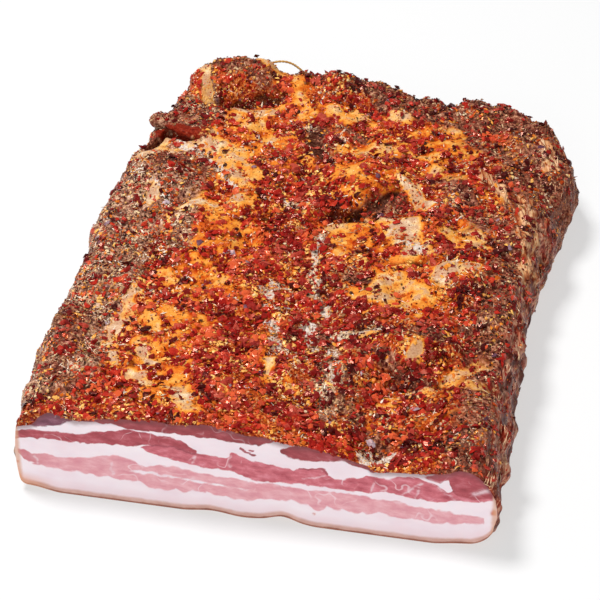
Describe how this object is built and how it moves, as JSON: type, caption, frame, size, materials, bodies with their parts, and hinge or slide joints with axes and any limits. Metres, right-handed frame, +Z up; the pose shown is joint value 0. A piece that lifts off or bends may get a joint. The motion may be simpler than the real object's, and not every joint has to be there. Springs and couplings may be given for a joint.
{
  "type": "pancetta slab",
  "caption": "Flat slab of cured pork belly, rind below, rubbed with crushed chilli and pepper and cut straight across to show its streaks, with a short loop of hanging twine.",
  "frame": {"origin": "on the resting face, halfway across the cut end and near the middle of the slab's length", "axes": "+Z up from the rind to the spiced top, +Y away from the cut face along the slab's length, +X to the right when facing the cut"},
  "size_m": [0.2537, 0.3361, 0.0634],
  "materials": {
    "meat": "oily cured crust of chilli and pepper, moist cut face",
    "twine": "dry natural fibre"
  },
  "bodies": {
    "root": {"slab": "meat", "twine": "twine"}
  },
  "joints": []
}
